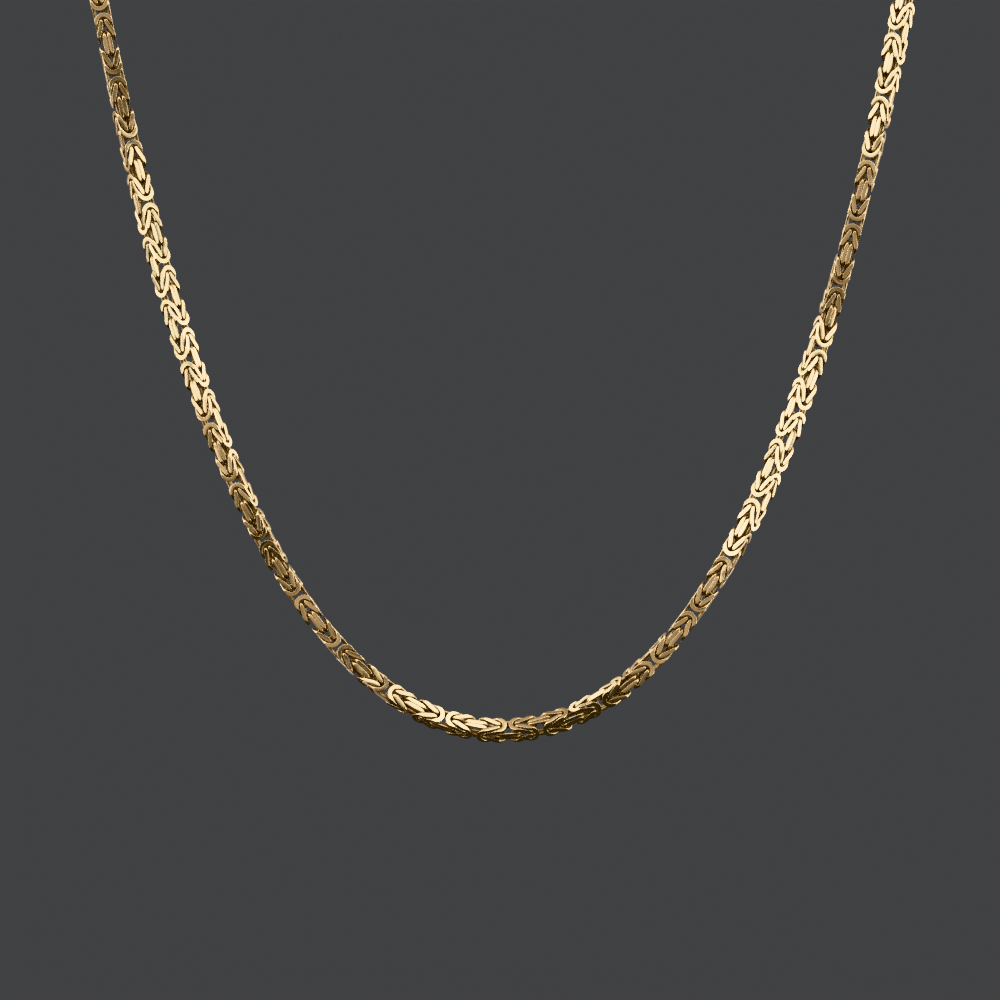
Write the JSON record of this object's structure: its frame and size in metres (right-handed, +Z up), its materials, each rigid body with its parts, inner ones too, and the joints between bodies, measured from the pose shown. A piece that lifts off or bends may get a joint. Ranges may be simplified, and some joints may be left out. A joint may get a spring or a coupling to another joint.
{
  "type": "byzantine chain necklace",
  "caption": "Square byzantine neck chain of interlocking oval rings filed flat on four faces, hanging as a closed loop from a plain box clasp at the nape.",
  "frame": {"origin": "middle of the clasp's neck side, where the necklace lies on the nape", "axes": "+Z up, -Y the front that hangs on the chest, +X to the viewer's right of the front"},
  "size_m": [0.1248, 0.1008, 0.151],
  "materials": {
    "chain_gold": "yellow gold, rings filed flat and polished, darker in the recesses",
    "clasp_gold": "polished yellow gold with soft edges"
  },
  "bodies": {
    "root": {"chain": "chain_gold", "clasp": "clasp_gold"}
  },
  "joints": []
}
